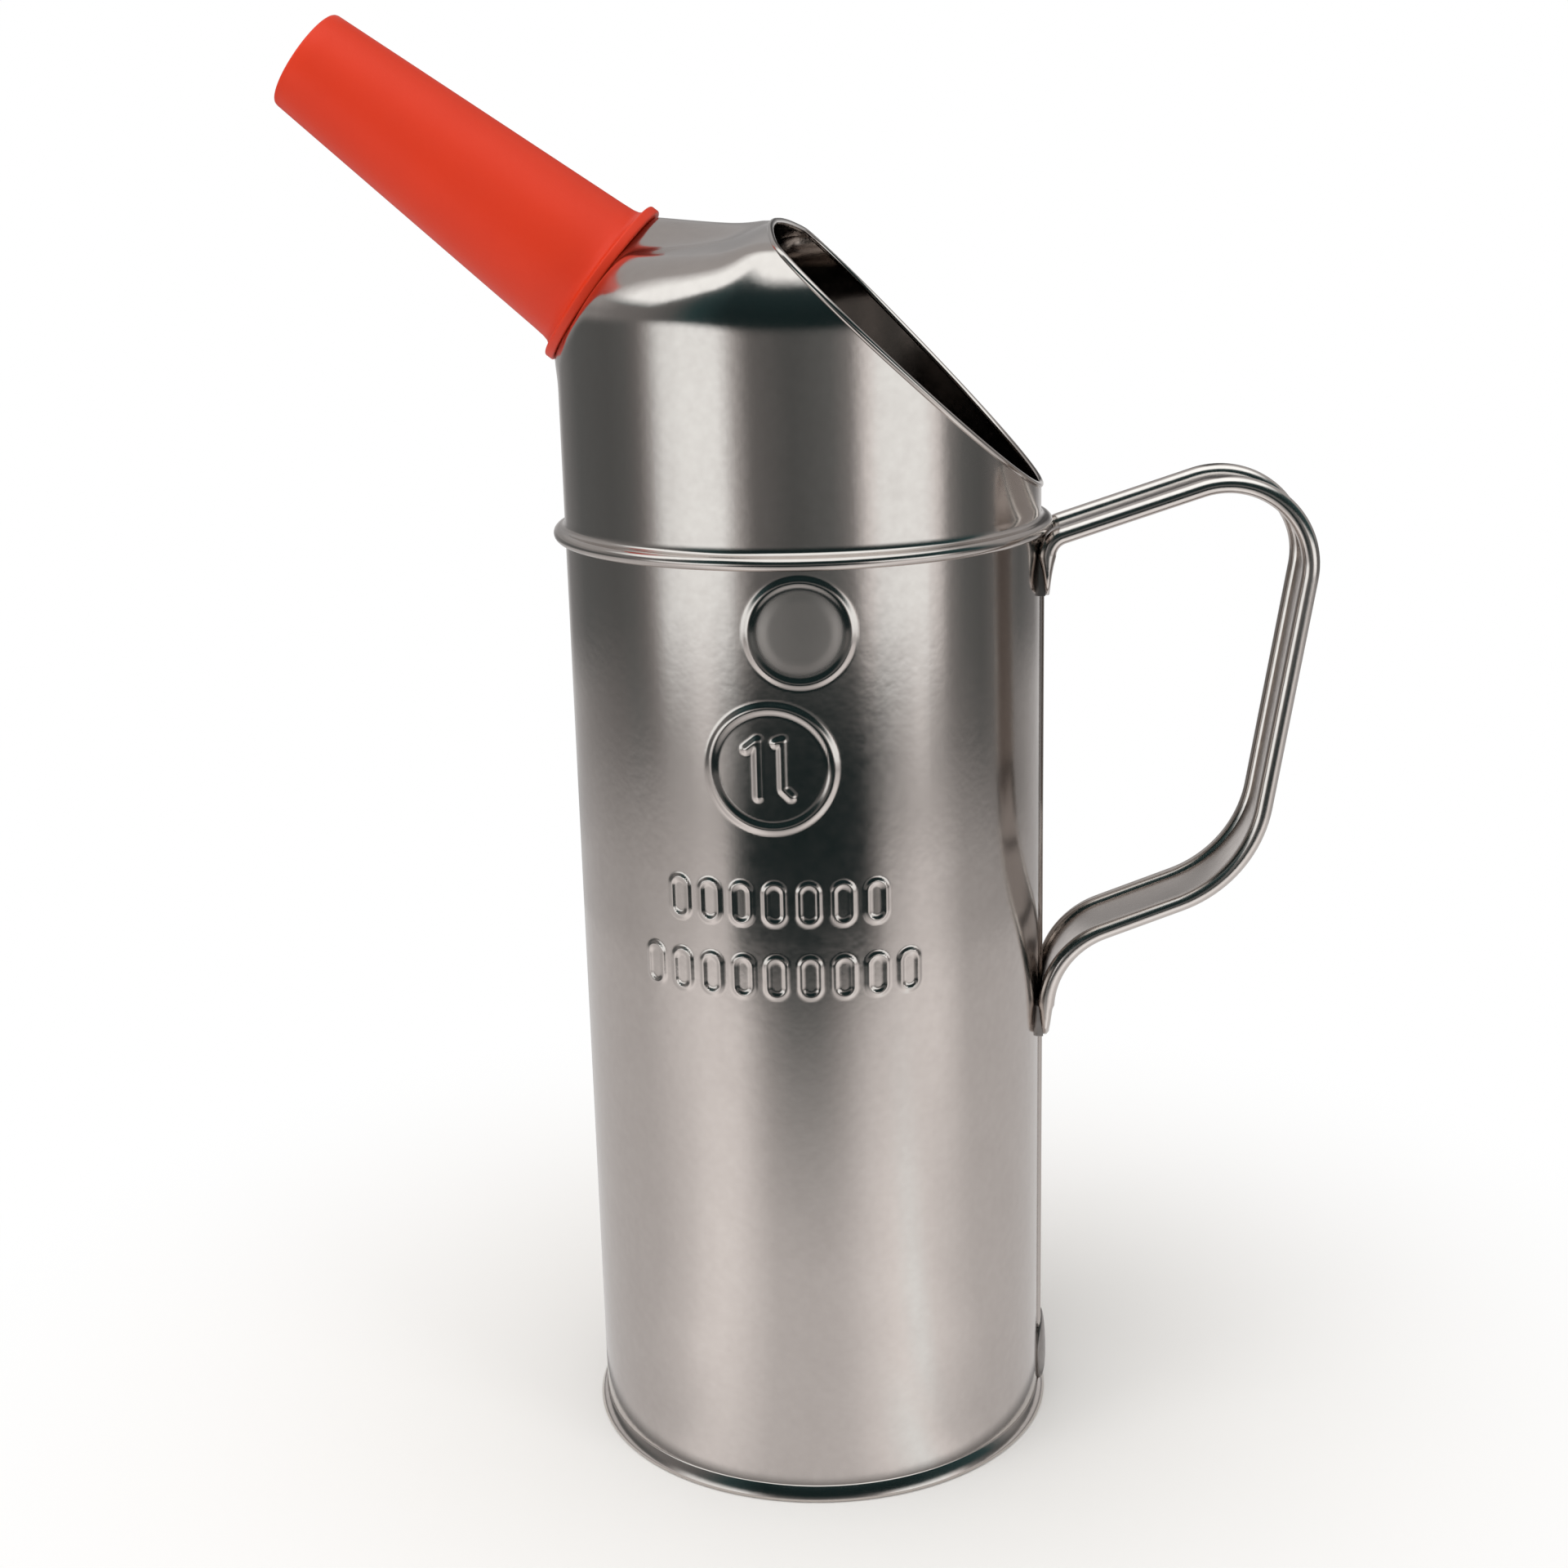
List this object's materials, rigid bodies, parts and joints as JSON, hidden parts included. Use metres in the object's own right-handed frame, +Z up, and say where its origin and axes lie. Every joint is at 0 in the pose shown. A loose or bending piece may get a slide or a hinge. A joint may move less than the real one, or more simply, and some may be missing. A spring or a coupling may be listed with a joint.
{
  "type": "oil can",
  "caption": "Cylindrical tinplate oil can with a domed hood, slanted open mouth, strap handle and a tapered push-on pouring spout.",
  "frame": {"origin": "middle of the rim that the can stands on", "axes": "+Z up along the can, +X toward the handle, -X toward the spout, -Y toward the face with the pressed marks"},
  "size_m": [0.1869, 0.0922, 0.2698],
  "materials": {
    "tinplate": "bright tinned sheet steel",
    "solder": "satin soft solder",
    "sealing_compound": "matte rubber compound",
    "red_plastic": "semi-gloss moulded polyethylene"
  },
  "bodies": {
    "can": {"body_shell": "tinplate", "base_disc": "tinplate", "base_seal": "sealing_compound", "hood_shell": "tinplate", "spout_neck": "tinplate", "neck_solder": "solder", "handle_strap": "tinplate", "upper_handle_solder": "solder", "lower_handle_solder": "solder", "seam_foot_solder": "solder"},
    "pouring_spout": {"spout": "red_plastic"}
  },
  "joints": [
    {"name": "spout_pull", "type": "slide", "parent": "can", "child": "pouring_spout", "axis": [-0.788, 0, 0.6157], "range_m": [0, 0.03]}
  ]
}
